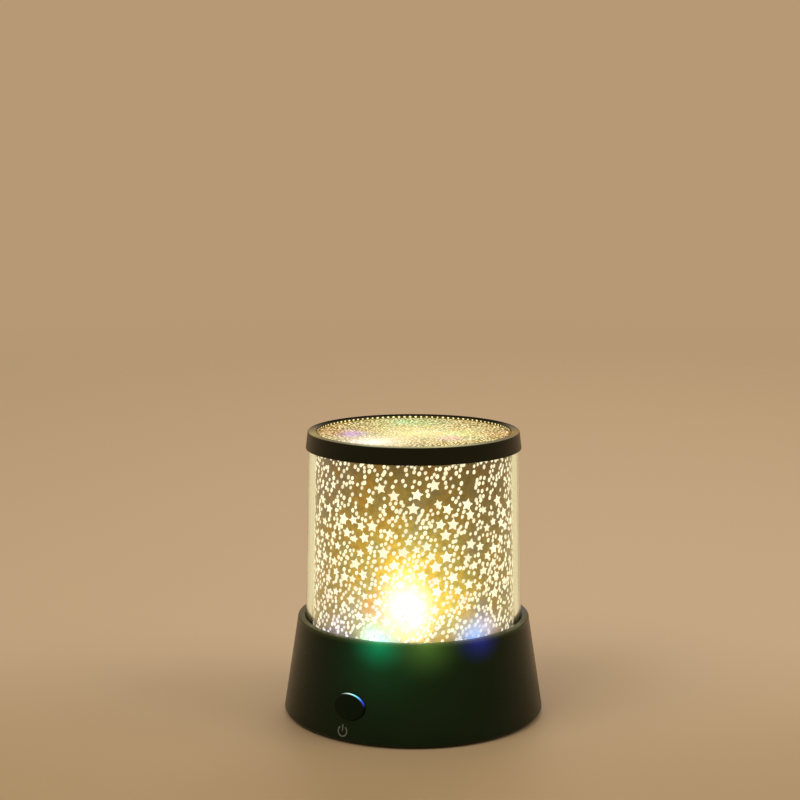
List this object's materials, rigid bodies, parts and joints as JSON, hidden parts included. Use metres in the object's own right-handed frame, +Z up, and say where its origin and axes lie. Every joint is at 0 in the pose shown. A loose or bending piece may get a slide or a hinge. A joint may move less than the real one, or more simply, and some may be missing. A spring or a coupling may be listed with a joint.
{
  "type": "star night light projector",
  "caption": "Round black night light base with colour LEDs, push button and battery box, and a clear lift-off shade lined with star film that throws stars around a room.",
  "frame": {"origin": "on the table under the centre of the lamp", "axes": "+Z up along the lamp's axis, front towards -Y, +X to the right seen from the front"},
  "size_m": [0.1152, 0.1152, 0.1262],
  "materials": {
    "black_housing": "satin",
    "black_button": "satin",
    "clear_plastic": "polished",
    "star_film": "translucent, printed",
    "silver_card": "metallised",
    "board": "solder mask",
    "white_led": "clear epoxy",
    "green_led": "clear epoxy",
    "blue_led": "clear epoxy",
    "red_led": "clear epoxy",
    "white_nylon": "moulded",
    "ceramic": "chip resistor",
    "black_epoxy": "moulded",
    "steel": "zinc plated",
    "nickel": "nickel plated",
    "cell_label": "plain label",
    "rubber": "soft",
    "switch_plastic": "moulded",
    "plunger_plastic": "moulded",
    "red_wire": "PVC",
    "black_wire": "PVC"
  },
  "bodies": {
    "base": {"base_shell": "black_housing", "bottom_cover": "black_housing", "reflector_disc": "silver_card", "led_board": "board", "switch_board": "board", "centre_led": "white_led", "green_led": "green_led", "blue_led": "blue_led", "red_led": "red_led", "centre_led_spacer": "white_nylon", "colour_led_spacers": "white_nylon", "led_resistors": "ceramic", "controller_chip": "black_epoxy", "board_screws": "steel", "cover_screws": "steel", "contact_negative": "nickel", "contact_positive": "nickel", "contact_bridge_front": "nickel", "contact_bridge_rear": "nickel", "dc_jack_pin": "nickel", "aa_cell_left": "cell_label", "aa_cell_middle": "cell_label", "aa_cell_right": "cell_label", "rubber_feet": "rubber", "switch_body": "switch_plastic", "dc_jack": "switch_plastic", "battery_lead_red": "red_wire", "jack_lead_red": "red_wire", "switch_lead_left": "red_wire", "battery_lead_black": "black_wire", "jack_lead_black": "black_wire", "switch_lead_right": "black_wire"},
    "shade": {"clear_shade": "clear_plastic", "cap_ring": "black_housing", "star_film_sleeve": "star_film", "star_film_disc": "star_film"},
    "button": {"mode_button": "black_button", "switch_plunger": "plunger_plastic"},
    "battery_door": {"battery_door": "black_housing", "door_screw": "steel"}
  },
  "joints": [
    {"name": "shade_lift", "type": "slide", "parent": "base", "child": "shade", "axis": [0, 0, 1], "range_m": [0, 0.06]},
    {"name": "button_press", "type": "slide", "parent": "base", "child": "button", "axis": [0.4924, 0.8704, 0], "range_m": [0, 0.0007], "stiffness_N_per_m": 1500, "springref_m": -0.0007},
    {"name": "door_hinge", "type": "hinge", "parent": "base", "child": "battery_door", "pos_m": [0, -0.02975, 0.0012], "axis": [-1, 0, 0], "range_deg": [0, 60]}
  ]
}
